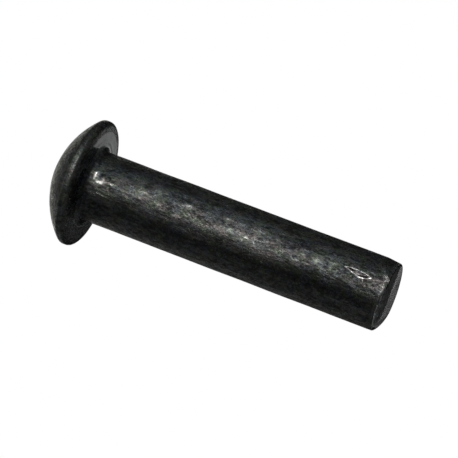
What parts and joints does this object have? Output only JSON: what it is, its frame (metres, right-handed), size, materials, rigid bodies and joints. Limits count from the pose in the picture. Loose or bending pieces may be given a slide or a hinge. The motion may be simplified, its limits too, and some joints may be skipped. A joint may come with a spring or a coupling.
{
  "type": "ring gear rivet",
  "caption": "Solid button head rivet in dark oiled steel: a low domed head with a rolled rim, a plain round shank and a cropped, unset tail.",
  "frame": {"origin": "centre of the tail face, which the rivet stands on", "axes": "+Z along the shank from the tail to the head; +X towards the side of the tail that the blade pressed in"},
  "size_m": [0.02, 0.02, 0.0551],
  "materials": {
    "dark_steel": "dark scale on plain carbon steel, wiped with oil, rubbed bright in patches along the shank"
  },
  "bodies": {
    "root": {"rivet": "dark_steel"}
  },
  "joints": []
}
